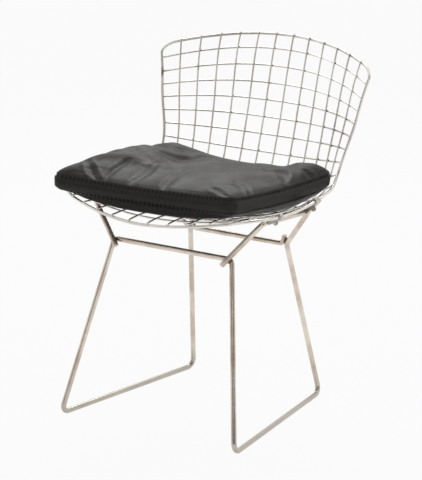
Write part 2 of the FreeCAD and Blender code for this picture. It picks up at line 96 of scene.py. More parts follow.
def platedWire(name, finish, stains=()):
    material = newMaterial(name)
    tree = material.node_tree
    place = addNode(tree, "ShaderNodeTexCoord").outputs["Object"]
    patches = addNode(tree, "ShaderNodeTexNoise", {"Vector": place, "Scale": perMetre(80), "Detail": 4,
                                                   "Roughness": 0.6})
    patchColour = addNode(tree, "ShaderNodeValToRGB", {"Fac": patches.outputs["Fac"]},
                          [(0.38, finish["bright"]), (0.7, finish["tarnished"])])
    pits = addNode(tree, "ShaderNodeTexNoise", {"Vector": place, "Scale": perMetre(9), "Detail": 2,
                                                "Roughness": 0.5})
    pitMask = addNode(tree, "ShaderNodeValToRGB", {"Fac": pits.outputs["Fac"]},
                      [(finish["pitting"], 0.0), (finish["pitting"] + 0.08, 0.6)])
    colour = addNode(tree, "ShaderNodeMix", {"Factor": pitMask.outputs["Color"],
                                             "A": patchColour.outputs["Color"],
                                             "B": linearColour(finish["freckle"])}, data_type="RGBA")
    if "low" in finish:
        # the colour turns a cooler grey towards the floor
        height = addNode(tree, "ShaderNodeSeparateXYZ", {"Vector": place}).outputs["Z"]
        lower = addNode(tree, "ShaderNodeMapRange", {"Value": height, "From Min": 0.01, "From Max": 0.09,
                                                     "To Min": 0.85, "To Max": 0.0})
        colour = addNode(tree, "ShaderNodeMix", {"Factor": lower.outputs["Result"],
                                                 "A": colour.outputs["Result"],
                                                 "B": linearColour(finish["low"])}, data_type="RGBA")
    mottle = addNode(tree, "ShaderNodeTexNoise", {"Vector": place, "Scale": perMetre(6), "Detail": 3})
    # both sides alike: the stains are measured from the place with its x made positive
    folded = addNode(tree, "ShaderNodeVectorMath", {0: place}, operation="ABSOLUTE")
    for spot, reach, strength, bothWays in stains:
        source = folded.outputs["Vector"] if bothWays else place
        apart = addNode(tree, "ShaderNodeVectorMath", {0: source, 1: spot}, operation="DISTANCE")
        fade = addNode(tree, "ShaderNodeMapRange", {"Value": apart.outputs["Value"], "From Min": 0.0,
                                                    "From Max": reach * mm, "To Min": strength,
                                                    "To Max": 0.0})
        patchy = addNode(tree, "ShaderNodeMapRange", {"Value": mottle.outputs["Fac"], "From Min": 0.35,
                                                      "From Max": 0.6, "To Min": 0.35, "To Max": 1.0})
        amount = addNode(tree, "ShaderNodeMath", {0: fade.outputs["Result"], 1: patchy.outputs["Result"]},
                         operation="MULTIPLY")
        colour = addNode(tree, "ShaderNodeMix", {"Factor": amount.outputs["Value"],
                                                 "A": colour.outputs["Result"],
                                                 "B": linearColour(finish["freckle"])}, data_type="RGBA")
    rough = addNode(tree, "ShaderNodeMapRange", {"Value": patches.outputs["Fac"], "From Min": 0.3,
                                                 "From Max": 0.75, "To Min": finish["haze"],
                                                 "To Max": finish["haze"] + 0.14})
    fine = addNode(tree, "ShaderNodeTexNoise", {"Vector": place, "Scale": perMetre(3), "Detail": 2})
    bump = addNode(tree, "ShaderNodeBump", {"Height": fine.outputs["Fac"], "Strength": 0.05,
                                            "Distance": 0.1 * mm})
    shader = addNode(tree, "ShaderNodeBsdfPrincipled", {"Base Color": colour.outputs["Result"],
                                                        "Metallic": 1.0,
                                                        "Roughness": rough.outputs["Result"],
                                                        "Normal": bump.outputs["Normal"]})
    addNode(tree, "ShaderNodeOutputMaterial", {"Surface": shader.outputs["BSDF"]})
    return material


# Upholstery leather, dyed charcoal and worn soft: a pebbled grain under a dull wax finish,
# paler on fold crests, part wear and part painted highlight, with a painted highlight on the seam lips.

def charcoalLeather():
    material = newMaterial("charcoalLeather")
    tree = material.node_tree
    place = addNode(tree, "ShaderNodeTexCoord").outputs["Object"]
    cloud = addNode(tree, "ShaderNodeTexNoise", {"Vector": place, "Scale": perMetre(60), "Detail": 5,
                                                 "Roughness": 0.62})
    worn = addNode(tree, "ShaderNodeValToRGB", {"Fac": cloud.outputs["Fac"]},
                   [(0.3, "#1b1916"), (0.52, "#221f1b"), (0.75, "#2e2a25")])
    # the crests of folds are paler, part wear and part painted highlight, the lips beside each seam get a
    # painted highlight, and the valleys keep the dye
    wearAndHighlightMask = addNode(tree, "ShaderNodeAttribute", attribute_name="wearAndHighlight")
    colour = addNode(tree, "ShaderNodeMix", {"Factor": wearAndHighlightMask.outputs["Fac"], "A": worn.outputs["Color"],
                                             "B": linearColour("#4a453e")}, data_type="RGBA")
    # painted shade darkens the crevice of each seam
    creviceShade = addNode(tree, "ShaderNodeAttribute", attribute_name="creviceShade")
    colour = addNode(tree, "ShaderNodeMix", {"Factor": creviceShade.outputs["Fac"], "A": colour.outputs["Result"],
                                             "B": linearColour("#060505")}, data_type="RGBA")
    rough = addNode(tree, "ShaderNodeMapRange", {"Value": cloud.outputs["Fac"], "From Min": 0.3,
                                                 "From Max": 0.75, "To Min": 0.42, "To Max": 0.56})
    grain = addNode(tree, "ShaderNodeTexVoronoi", {"Vector": place, "Scale": perMetre(1.6)},
                    feature="DISTANCE_TO_EDGE")
    grainBump = addNode(tree, "ShaderNodeBump", {"Height": grain.outputs["Distance"], "Strength": 0.35,
                                                 "Distance": 0.3 * mm})
    soft = addNode(tree, "ShaderNodeTexNoise", {"Vector": place, "Scale": perMetre(14), "Detail": 4,
                                                "Roughness": 0.55, "Distortion": 0.6})
    softBump = addNode(tree, "ShaderNodeBump", {"Height": soft.outputs["Fac"], "Strength": 0.45,
                                                "Distance": 2 * mm, "Normal": grainBump.outputs["Normal"]})
    shader = addNode(tree, "ShaderNodeBsdfPrincipled", {"Base Color": colour.outputs["Result"],
                                                        "Roughness": rough.outputs["Result"],
                                                        "Specular IOR Level": 0.26,
                                                        "Sheen Weight": 0.02, "Sheen Roughness": 0.5,
                                                        "Normal": softBump.outputs["Normal"]})
    addNode(tree, "ShaderNodeOutputMaterial", {"Surface": shader.outputs["BSDF"]})
    return material


# Waxed polyester thread, twisted: dark, with a slight shine on each ply.

def waxedThread():
    material = newMaterial("waxedThread")
    tree = material.node_tree
    place = addNode(tree, "ShaderNodeTexCoord").outputs["Object"]
    ply = addNode(tree, "ShaderNodeTexNoise", {"Vector": place, "Scale": perMetre(0.8), "Detail": 2})
    colour = addNode(tree, "ShaderNodeValToRGB", {"Fac": ply.outputs["Fac"]},
                     [(0.35, "#181512"), (0.7, "#26221e")])
    bump = addNode(tree, "ShaderNodeBump", {"Height": ply.outputs["Fac"], "Strength": 0.5,
                                            "Distance": 0.1 * mm})
    shader = addNode(tree, "ShaderNodeBsdfPrincipled", {"Base Color": colour.outputs["Color"],
                                                        "Roughness": 0.55,
                                                        "Normal": bump.outputs["Normal"]})
    addNode(tree, "ShaderNodeOutputMaterial", {"Surface": shader.outputs["BSDF"]})
    return material


# Lines and tubes

def middleLine(nodeName, diameter, sides):
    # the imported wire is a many-sided bar, so its section edges all have one length and gather
    # its corners into rings; the rings' centres, in order, are the wire's middle line
    shape = bmesh.new()
    shape.from_mesh(nodes[nodeName].data)
    bmesh.ops.remove_doubles(shape, verts=shape.verts, dist=0.02 * mm)
    sectionEdge = diameter * math.sin(math.pi / sides)
    ringOf, rings = {}, []
    for vertex in shape.verts:
        if vertex in ringOf:
            continue
        ring, waiting = [], [vertex]
        ringOf[vertex] = len(rings)
        while waiting:
            corner = waiting.pop()
            ring.append(corner)
            for edge in corner.link_edges:
                other = edge.other_vert(corner)
                if other not in ringOf and abs(edge.calc_length() - sectionEdge) < 0.02 * mm:
                    ringOf[other] = len(rings)
                    waiting.append(other)
        rings.append(ring)
    beside = [set() for _ in rings]
    for edge in shape.edges:
        a, b = (ringOf[vertex] for vertex in edge.verts)
        if a != b:
            beside[a].add(b)
            beside[b].add(a)
    ends = [k for k, near in enumerate(beside) if len(near) == 1]
    order = [ends[0] if ends else 0]
    while True:
        ahead = [k for k in sorted(beside[order[-1]]) if k not in order]
        if not ahead:
            break
        order.append(ahead[0])
    centres = [sum((v.co for v in rings[k]), Vector()) / len(rings[k]) for k in order]
    shape.free()
    return centres, not ends


def smoothLine(points, steps, closed=False):
    # a curve through the points, with this many steps to a span
    count = len(points)
    line = []
    for k in range(count if closed else count - 1):
        if closed:
            p0, p1, p2, p3 = (points[(k + j) % count] for j in (-1, 0, 1, 2))
        else:
            p1, p2 = points[k], points[k + 1]
            p0 = points[k - 1] if k else p1 * 2 - p2
            p3 = points[k + 2] if k + 2 < count else p2 * 2 - p1
        for j in range(steps):
            t = j / steps
            line.append(0.5 * (p1 * 2 + (p2 - p0) * t + (p0 * 2 - p1 * 5 + p2 * 4 - p3) * t * t
                               + (p1 * 3 - p0 - p2 * 3 + p3) * t ** 3))
    if not closed:
        line.append(points[-1].copy())
    return line


def addTube(shape, points, radius, sides, closed=False, endRound=0.35):
    # a round bar along the points; its cut ends have a small rounded edge
    count = len(points)
    along = []
    for k in range(count):
        if closed:
            along.append((points[(k + 1) % count] - points[k - 1]).normalized())
        else:
            along.append((points[min(k + 1, count - 1)] - points[max(k - 1, 0)]).normalized())
    across = along[0].orthogonal().normalized()
    stations = []
    for k in range(count):
        across = (across - along[k] * across.dot(along[k])).normalized()
        stations.append([points[k], along[k], across, radius])
    if closed:
        # the carried direction has turned a little by the time it is back at the start
        back = (across - along[0] * across.dot(along[0])).normalized()
        start = stations[0][2]
        twist = math.atan2(back.cross(start).dot(along[0]), back.dot(start))
        for k, station in enumerate(stations):
            station[2] = Matrix.Rotation(twist * k / count, 3, station[1]) @ station[2]
    else:
        bevel = radius * endRound
        for end, step in ((0, 1), (-1, -1)):
            tip, direction, sideways, _ = stations[end]
            inner = tip + direction * step * bevel
            lip = [tip, direction, sideways, radius - bevel]
            middle = [tip + direction * step * bevel * 0.3, direction, sideways, radius - bevel * 0.3]
            stations[end] = [inner, direction, sideways, radius]
            stations[:] = [lip, middle] + stations if end == 0 else stations + [middle, lip]
    rings = []
    for centre, direction, sideways, size in stations:
        upright = direction.cross(sideways)
        ring = []
        for k in range(sides):
            turn = 2 * math.pi * k / sides
            outward = sideways * math.cos(turn) + upright * math.sin(turn)
            ring.append(shape.verts.new(centre + outward * size))
        rings.append(ring)
    pairs = list(zip(rings, rings[1:])) + ([(rings[-1], rings[0])] if closed else [])
    for low, high in pairs:
        for k in range(sides):
            shape.faces.new((low[k - 1], low[k], high[k], high[k - 1]))
    if not closed:
        shape.faces.new(rings[0])
        shape.faces.new(list(reversed(rings[-1])))


def finishPiece(name, shape, material, body, replaced=()):
    bmesh.ops.recalc_face_normals(shape, faces=shape.faces)
    mesh = bpy.data.meshes.new(name)
    shape.to_mesh(mesh)
    shape.free()
    mesh.polygons.foreach_set("use_smooth", [True] * len(mesh.polygons))
    mesh.materials.append(material)
    piece = bpy.data.objects.new(name, mesh)
    bpy.context.scene.collection.objects.link(piece)
    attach(piece, body)
    if replaced:
        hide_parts(*replaced)
    return piece


# Shell: a rim and two layers of round wire, welded where they cross

shell = {
    "gridDiameter": 4.0 * mm,
    "rimDiameter": 6.4 * mm,
    "longWires": 12,
    "crossWires": 20,
    "packedGridSides": 6,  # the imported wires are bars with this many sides
    "packedRimSides": 8,
    "gridSides": 14,
    "rimSides": 20,
    "gridSteps": 6,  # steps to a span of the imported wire
    "rimSteps": 3,
    "crossingGap": 5.2 * mm,  # two wires are welded where their middle lines come this close
    "weldReach": 2.5 * mm,  # half the width of the squeezed-out metal at a crossing
    "weldHeight": 1.1 * mm,
    "rimWeldReach": 2.5 * mm,
    "rimWeldDepth": 2.0 * mm,
    "wire": {"bright": "#e8e5e0", "tarnished": "#cbc4bb", "freckle": "#5b3d29", "pitting": 0.71,
             "haze": 0.16},
    "weld": {"bright": "#a39a8f", "tarnished": "#6b5b4c", "freckle": "#33271d", "pitting": 0.56,
             "haze": 0.34},
    # place in metres, reach in mm, strength, and whether it is on both sides
    "stains": [((-0.2565, 0.174, 0.6795), 16, 1.0, False), ((-0.186, 0.215, 0.692), 12, 0.8, False),
               ((0.183, 0.19, 0.6), 75, 0.6, False)],
}
shellPlating = platedWire("chromePlatedWire", shell["wire"], shell["stains"])
weldSteel = platedWire("resistanceWeldSteel", shell["weld"])


def buildShell():
    lines = {}
    for kind, count in (("long", shell["longWires"]), ("cross", shell["crossWires"])):
        for number in range(count):
            nodeName = "%s_wire_%02d" % (kind, number + 1)
            centres, _ = middleLine(nodeName, shell["gridDiameter"], shell["packedGridSides"])
            lines[nodeName] = smoothLine(centres, shell["gridSteps"])
            shape = bmesh.new()
            addTube(shape, lines[nodeName], shell["gridDiameter"] / 2, shell["gridSides"])
            finishPiece("round_" + nodeName, shape, shellPlating, "chair_frame", [nodeName])
    centres, closed = middleLine("rim_wire", shell["rimDiameter"], shell["packedRimSides"])
    lines["rim_wire"] = smoothLine(centres, shell["rimSteps"], closed)
    shape = bmesh.new()
    addTube(shape, lines["rim_wire"], shell["rimDiameter"] / 2, shell["rimSides"], closed)
    finishPiece("round_rim_wire", shape, shellPlating, "chair_frame", ["rim_wire"])
    print("shell wires:", len(lines))
    return lines


def nearestPoints(lineA, lineB):
    a, b = numpy.array([p[:] for p in lineA]), numpy.array([p[:] for p in lineB])
    apart = ((a[:, None, :] - b[None, :, :]) ** 2).sum(axis=2)
    k, j = numpy.unravel_index(apart.argmin(), apart.shape)
    return int(k), int(j)


def directionAt(line, k):
    return (line[min(k + 1, len(line) - 1)] - line[max(k - 1, 0)]).normalized()


def addLump(shape, centre, alongA, alongB, reachA, reachB, height, seed):
    # a low rounded lump of weld metal, uneven at its edge
    up = alongA.cross(alongB).normalized()
    side = up.cross(alongA).normalized()
    made = bmesh.ops.create_icosphere(shape, subdivisions=2, radius=1.0)["verts"]
    for vertex in made:
        x, y, z = vertex.co
        ripple = 0.12 * math.sin(3.1 * x + 1.7 * seed) * math.cos(2.3 * y + seed)
        uneven = 1 + ripple + 0.08 * math.sin(5 * z + seed)
        vertex.co = centre + (alongA * (x * reachA) + side * (y * reachB) + up * (z * height)) * uneven


def buildShellWelds(lines):
    crossings, rimJoints = bmesh.new(), bmesh.new()
    longNames = [name for name in lines if name.startswith("long")]
    crossNames = [name for name in lines if name.startswith("cross")]
    seed = 0
    for longName in longNames:
        for crossName in crossNames:
            k, j = nearestPoints(lines[longName], lines[crossName])
            a, b = lines[longName][k], lines[crossName][j]
            if (a - b).length > shell["crossingGap"]:
                continue
            seed += 1
            reach = shell["weldReach"]
            addLump(crossings, (a + b) / 2, directionAt(lines[longName], k),
                    directionAt(lines[crossName], j), reach, reach, shell["weldHeight"], seed)
    rim = lines["rim_wire"]
    for name in longNames + crossNames:
        for end in (0, -1):
            tip = lines[name][end]
            _, j = nearestPoints([tip], rim)
            along = directionAt(lines[name], 0 if end == 0 else len(lines[name]) - 1)
            rimAlong = (rim[(j + 1) % len(rim)] - rim[j - 1]).normalized()
            # half a wire's width from the tip, towards the rim's middle line
            towards = rim[j] - tip
            centre = tip + towards * (0.5 * shell["gridDiameter"] / max(towards.length, mm))
            seed += 1
            depth = shell["rimWeldDepth"]
            addLump(rimJoints, centre, rimAlong, along, shell["rimWeldReach"], depth, depth, seed)
    finishPiece("wire_crossing_welds", crossings, weldSteel, "chair_frame")
    finishPiece("rim_welds", rimJoints, shellPlating, "chair_frame")
    print("shell welds:", seed)


shellLines = buildShell()
buildShellWelds(shellLines)


# Base: two bent rods

base = {
    "rodDiameter": 11.2 * mm,
    "sides": 28,
    "bendStep": math.radians(6),
    "runStep": 12 * mm,
    "weldGap": 0.05 * mm,
    "floorBend": 17 * mm,
    "barBend": 13 * mm,
    "strutBend": 14 * mm,
    "stubBend": 10 * mm,
    # corners of the right half, in mm
    "frontFoot": (222, -261.5),
    "rearFoot": (167.5, 169.3),
    "frontBar": (149, -161.5, 385),
    "rearBar": (125, 93, 357),
    "runFront": (215, -147, 468.93),
    "runRear": (215, 34, 455.93),
    "tailLength": 15 * mm,
    "tailInset": 6 * mm,
    "stub": (5, 0, 19),
    "endRound": 0.12,  # rounding of the sawn ends, in radii
    "stubWeld": 0.45,  # how far up its stub the rear bar is welded
    "strutWeld": 0.08,  # the same place, as a share of the strut above the rear bend
    "weldBead": 2.4 * mm,  # radius of one ripple of the weld bead
    "weldRipples": 6,
    "rippleLength": 0.7,  # in bead radii, like the next
    "rippleSpacing": 0.75,
    "beadAside": 0.24,  # from the middle of the joint, in rod diameters
    "rod": {"bright": "#e3d8cc", "tarnished": "#bcaa9a", "low": "#b4afa5", "freckle": "#6b4a38",
            "pitting": 0.72, "haze": 0.2},
    "weld": {"bright": "#94816f", "tarnished": "#5a4636", "freckle": "#2e2118", "pitting": 0.52,
             "haze": 0.38},
    # place in metres, reach in mm, strength, and whether it is on both sides
    "stains": [((0.146, 0.167, 0.386), 26, 0.75, True), ((0.125, 0.093, 0.362), 22, 0.6, True),
               ((0.222, 0.2615, 0.004), 14, 0.5, True), ((0.1675, 0.1693, 0.004), 12, 0.4, True)],
}
rodPlating = platedWire("nickelPlatedRod", base["rod"], base["stains"])
beadSteel = platedWire("arcWeldBead", base["weld"])


def evenSteps(start, end):
    # places between two ends of a straight run
    count = int((end - start).length / base["runStep"])
    return [start.lerp(end, k / count) for k in range(1, count)]


def bentLine(corners, radii):
    # straight runs joined by arcs
    line = [corners[0]]
    for k in range(1, len(corners) - 1):
        corner, radius = corners[k], radii[k - 1]
        back = (corners[k - 1] - corner).normalized()
        ahead = (corners[k + 1] - corner).normalized()
        half = back.angle(ahead) / 2
        centre = corner + (back + ahead).normalized() * (radius / math.sin(half))
        start = corner + back * (radius / math.tan(half)) - centre
        axis = start.cross(-back).normalized()
        turn = math.pi - 2 * half
        line += evenSteps(line[-1], centre + start)
        steps = max(int(turn / base["bendStep"]), 2)
        for j in range(steps + 1):
            line.append(centre + Matrix.Rotation(turn * j / steps, 3, axis) @ start)
    line += evenSteps(line[-1], corners[-1])
    line.append(corners[-1])
    return line


def bothSides(right):
    return right + [Vector((-corner.x, corner.y, corner.z)) for corner in reversed(right)]


def frontStrutTail(runFront, frontBar):
    # the front strut passes just in front of the bar's end and stops a little below it
    beside = frontBar - Vector((base["tailInset"], 0, 0))
    apart = base["rodDiameter"] + base["weldGap"]
    passing = beside - Vector((0, apart, 0))
    # the lean changes a little with the place, so a few rounds settle it
    for _ in range(4):
        lean = runFront - passing
        passing = beside - Vector((0, apart * math.hypot(lean.y, lean.z) / abs(lean.z), 0))
    return passing, passing + (passing - runFront).normalized() * base["tailLength"]


def buildBase():
    radius = base["rodDiameter"] / 2
    place = lambda key: Vector(base[key]) * mm
    frontFoot = Vector((*base["frontFoot"], 0)) * mm + Vector((0, 0, radius))
    rearFoot = Vector((*base["rearFoot"], 0)) * mm + Vector((0, 0, radius))
    passing, tail = frontStrutTail(place("runFront"), place("frontBar"))
    right = [tail, place("runFront"), place("runRear"), place("rearBar"), rearFoot, frontFoot,
             place("frontBar")]
    bends = [base["strutBend"], base["strutBend"], base["barBend"], base["floorBend"], base["floorBend"],
             base["barBend"]]
    shape = bmesh.new()
    addTube(shape, bentLine(bothSides(right), bends + bends[::-1]), radius, base["sides"],
            endRound=base["endRound"])
    finishPiece("round_base_rod", shape, rodPlating, "chair_frame", ["base_rod"])
    _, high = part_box("rear_bar")
    stub = Vector(base["stub"]) * mm
    leaning = stub.z / stub.length
    corner = place("rearBar")
    corner.x = high.x - radius * leaning - stub.x
    shape = bmesh.new()
    addTube(shape, bentLine(bothSides([corner + stub, corner]), [base["stubBend"]] * 2), radius,
            base["sides"], endRound=base["endRound"])
    finishPiece("round_rear_bar", shape, rodPlating, "chair_frame", ["rear_bar"])
    print("base rods done")
    # a joint is a place on one rod, that rod's direction, and a place on the other rod; the front
    # one lies between the strut and the corner of the bar
    frontJoint = (passing, (tail - passing).normalized(), place("frontBar"))
    onStrut = place("rearBar") + (place("runRear") - place("rearBar")) * base["strutWeld"]
    rearJoint = (corner + stub * base["stubWeld"], stub.normalized(), onStrut)
    return frontJoint, rearJoint


def buildBaseWelds(joints):
    # short rippled beads on both sides of the line where two rods touch
    shape = bmesh.new()
    seed = 0
    for strut, strutAlong, bar in joints:
        middle = (strut + bar) / 2
        between = (bar - strut).normalized()
        aside = strutAlong.cross(between).normalized()
        half = base["weldRipples"] / 2
        for side in (1, -1):
            for k in range(base["weldRipples"]):
                step = (k + 0.5 - half) * base["weldBead"] * base["rippleSpacing"]
                offset = base["rodDiameter"] * base["beadAside"] * side
                centre = middle + strutAlong * step + aside * offset
                for mirrorX in (1, -1):
                    seed += 1
                    flip = Vector((mirrorX, 1, 1))
                    addLump(shape, centre * flip, strutAlong * flip, aside * flip,
                            base["weldBead"] * base["rippleLength"], base["weldBead"], base["weldBead"], seed)
    finishPiece("rod_welds", shape, beadSteel, "chair_frame")
    print("rod welds:", seed)


buildBaseWelds(buildBase())


# Clamps and bolts keep their CAD shapes

clamps = {
    "nodes": ("clamp_upper_halves", "clamp_lower_halves", "clamp_bolts", "clamp_nuts"),
    "steel": {"bright": "#d6d1ca", "tarnished": "#a69d92", "freckle": "#5a4737", "pitting": 0.66,
              "haze": 0.26},
}
clampSteel = platedWire("zincPlatedSteel", clamps["steel"])
for name in clamps["nodes"]:
    nodes[name].data.materials.clear()
    nodes[name].data.materials.append(clampSteel)


# Seat pad: a box-sided leather cushion, swollen by a short cloth simulation between its seams

pad = {
    # plan corners, heights and sags in mm, as in the CAD pad
    "frontLeft": (-238, -268),
    "frontRight": (197, -236),
    "rearRight": (222, 123),
    "rearLeft": (-202, 108),
    "frontSeamHeight": 504,
    "rearSeamHeight": 492,
    "frontSag": 6,
    "rearSag": 12,
    "sideSag": 8,
    "leftRise": 15,
    "boxing": 31.5,
    "rearLean": 7,
    "cornerRadius": 18,
    "inset": 1.55,  # the filling lies this far inside the leather's outside
    "sideDraw": 3,
    # places (u, v) of the boxing strip's corner joins
    "cornerSeams": ((0.985, -0.985), (0.985, 0.955), (-0.985, -0.985), (-0.985, 0.985)),
    "cornerSeamSteps": 15,
    "voxel": 4 * mm,
    "cloth": {"quality": 5, "mass": 0.3, "tension_stiffness": 15, "compression_stiffness": 15,
              "bending_stiffness": 0.6, "use_pressure": True, "uniform_pressure_force": 4.0},
    "frames": 20,
    "swellCap": 4 * mm,
    "heldReach": 9 * mm,  # how far from a seam the leather is held in
    "facingDown": -0.5,  # leather whose normal's z is below this lies on the wires
    "heldUnder": 0.9,  # how firmly that leather is held
    "grooveDepth": 3 * mm,
    "grooveReach": 2.6 * mm,
    "puff": 4 * mm,
    "puffReach": 11 * mm,
    "puffUnder": 0.2,  # share of the puff where the leather lies on the wires
    "lipHeight": 0.7 * mm,
    "lipDistance": 5.5 * mm,
    "bellyReach": 24 * mm,
    "bellyHeight": 16 * mm,
    "bellyPlace": -0.95,  # v of its middle, and how far it spreads
    "bellySpread": 0.16,
    "topFacing": (0.25, 0.6),  # normal's z where the folds of the top begin, and where they are whole
    "foldStart": 14 * mm,  # distance from a seam at which a fold has its whole depth
    "foldAtSeam": 0.35,  # share of its depth at the seam
    "foldTip": 0.06,  # how far along the taper a fold's first end lies
    "foldSwing": 0.35,  # share of the waves below that its sides follow
    "waves": ((2.2, 17, 29), (1.4, -23, 11)),  # height and the two lengths, in mm
    "shoulderPlace": 1.9,  # from the middle of the fold, in half widths, like the next
    "shoulderWidth": 0.8,
    "shoulderHeight": 0.35,  # share of the depth
    # paler fold crests, part wear and part painted highlight, and a painted highlight on the seam lips
    "wearAndHighlightStrength": 0.3,
    "lipHighlight": 0.5,
    # painted shade along the crevice of each seam
    "creviceShadeStrength": 0.95,
    "creviceShadeReach": 2.4 * mm,
    "stitchPitch": 3.8 * mm,
    "stitchLength": 2.8 * mm,
    "stitchOffset": 3.2 * mm,
    "threadDiameter": 0.7 * mm,
    "threadSides": 6,
    # rings of a stitch: place in lengths, size and height of the middle in radii
    "stitchRings": ((-0.5, 0.35, -0.9), (-0.3, 0.9, -0.4), (0.0, 1.0, -0.2), (0.3, 0.9, -0.4),
                    (0.5, 0.35, -0.9)),
    # folds in the top: places (u, v) along each one, depth and half width in mm; a negative
    # depth is a ridge
    "folds": [
        ([(-0.47, -0.98), (-0.63, -0.84), (-0.87, -0.6)], 3.8, 5),
        ([(-0.42, -0.92), (-0.47, -0.68), (-0.5, -0.39)], 3.2, 6),
        ([(-0.14, -0.93), (-0.16, -0.65), (-0.31, -0.15)], 3.2, 7),
        ([(0.24, -0.98), (0.13, -0.58), (0.07, -0.26)], 3.4, 7),
        ([(0.98, -0.58), (0.81, -0.46), (0.64, -0.35)], 3.2, 5),
        ([(0.96, -0.69), (0.74, -0.54), (0.62, -0.6)], 2.8, 5),
        ([(0.92, -0.96), (0.73, -0.83), (0.6, -0.76)], 3.4, 5),
        ([(0.91, 0.15), (0.7, 0.42), (0.48, 0.46)], 4.0, 7),
        ([(0.98, 0.54), (0.85, 0.62)], 3.2, 6),
        ([(0.5, 0.98), (0.57, 0.62), (0.5, 0.3), (0.25, 0.05)], 7.0, 26),
        ([(-0.72, -0.32), (-0.59, 0.09), (-0.25, 0.21), (-0.18, 0.63)], 5.5, 15),
        ([(-0.81, -0.52), (-0.54, -0.32), (-0.14, -0.24), (0.05, 0.19), (0.25, 0.6)], -6.0, 17),
        ([(0.1, -0.75), (0.45, -0.3), (0.78, 0.2)], -4.0, 20),
        ([(-0.95, 0.5), (-0.6, 0.35), (-0.3, 0.5)], 5.0, 13),
        ([(-0.9, -0.1), (-0.7, -0.02), (-0.5, -0.12)], 2.2, 9),
    ],
}
padLeather = charcoalLeather()
padThread = waxedThread()


def padPlan(u, v, lean=0):
    # plan place in the pad, in metres; u runs left to right and v front to rear, both -1 to 1
    front = Vector(pad["frontLeft"]) * (1 - u) / 2 + Vector(pad["frontRight"]) * (1 + u) / 2
    rear = Vector(pad["rearLeft"]) * (1 - u) / 2 + Vector(pad["rearRight"]) * (1 + u) / 2
    return (front * (1 - v) / 2 + (rear + Vector((0, lean))) * (1 + v) / 2) * mm


def seamHeight(u, v):
    level = pad["frontSeamHeight"] * (1 - v) / 2 + pad["rearSeamHeight"] * (1 + v) / 2
    sag = pad["frontSag"] * (1 - v) / 2 + pad["rearSag"] * (1 + v) / 2
    rise = pad["leftRise"] * ((1 - u) / 2) ** 3
    return (level - sag * (1 - u * u) + (rise - pad["sideSag"]) * (1 - v * v)) * mm


def seamLine(top, sideSteps=40, cornerSteps=10):
    # one of the two seams, once round the pad
    halfWidth = (padPlan(1, 0) - padPlan(-1, 0)).length / 2
    halfDepth = (padPlan(0, 1) - padPlan(0, -1)).length / 2
    radius, draw = pad["cornerRadius"] * mm, pad["sideDraw"] * mm
    reachU, reachV = halfWidth - pad["inset"] * mm, halfDepth - pad["inset"] * mm
    rise = (pad["boxing"] - pad["inset"] if top else pad["inset"]) * mm
    points = []
    for quarter in range(4):
        ahead, aside = (reachU, reachV) if quarter % 2 == 0 else (reachV, reachU)
        side = []
        for k in range(sideSteps):
            step = 2 * k / sideSteps - 1
            side.append((step * (ahead - radius), draw * (1 - step * step) - aside))
        for k in range(cornerSteps):
            turn = math.pi / 2 * k / cornerSteps
            side.append((ahead - radius * (1 - math.sin(turn)), radius * (1 - math.cos(turn)) - aside))
        for x, y in side:
            for _ in range(quarter):
                x, y = -y, x
            u, v = x / halfWidth, y / halfDepth
            plan = padPlan(u, v, pad["rearLean"] if top else 0)
            points.append(Vector((plan.x, plan.y, seamHeight(u, v) + rise)))
    return points


def startShape():
    # the CAD filling, remeshed evenly
    mesh = nodes["pad_filling"].data.copy()
    piece = bpy.data.objects.new("leather_seat_pad", mesh)
    bpy.context.scene.collection.objects.link(piece)
    remesh = piece.modifiers.new("evenMesh", "REMESH")
    remesh.mode = "VOXEL"
    remesh.voxel_size = pad["voxel"]
    bakeModifiers(piece)
    return piece


def bakeModifiers(piece):
    graph = bpy.context.evaluated_depsgraph_get()
    mesh = bpy.data.meshes.new_from_object(piece.evaluated_get(graph))
    piece.modifiers.clear()
    piece.data = mesh


def swell(piece, seams):
    # held along its seams and where it lies on the wires, and blown up between them
    start = [v.co.copy() for v in piece.data.vertices]
    group = piece.vertex_groups.new(name="held")
    for vertex in piece.data.vertices:
        nearest = (vertex.co - seams.find(vertex.co)[0]).length
        hold = math.exp(-(nearest / pad["heldReach"]) ** 2)
        if vertex.normal.z < pad["facingDown"]:
            hold = max(hold, pad["heldUnder"])
        group.add([vertex.index], hold, "REPLACE")
    cloth = piece.modifiers.new("swelling", "CLOTH")
    for name, value in pad["cloth"].items():
        setattr(cloth.settings, name, value)
    cloth.settings.effector_weights.gravity = 0
    cloth.settings.vertex_group_mass = "held"
    scene = bpy.context.scene
    for number in range(1, pad["frames"] + 1):
        scene.frame_set(number)
    bakeModifiers(piece)
    scene.frame_set(1)
    swollen = [(v.co - before).length / mm for v, before in zip(piece.data.vertices, start)]
    print("pad swelled by up to %.1f mm, %.1f on average" % (max(swollen), sum(swollen) / len(swollen)))
    for vertex, before in zip(piece.data.vertices, start):
        moved = vertex.co - before
        if moved.length > pad["swellCap"]:
            vertex.co = before + moved.normalized() * pad["swellCap"]


def cornerSeams():
    # the boxing strip is joined at its corners
    lines = []
    steps = pad["cornerSeamSteps"]
    for u, v in pad["cornerSeams"]:
        low, high = padPlan(u, v), padPlan(u, v, pad["rearLean"])
        height = seamHeight(u, v)
        for k in range(steps + 1):
            share = k / steps
            plan = low.lerp(high, share)
            lines.append(Vector((plan.x, plan.y, height + pad["boxing"] * mm * share)))
    return lines


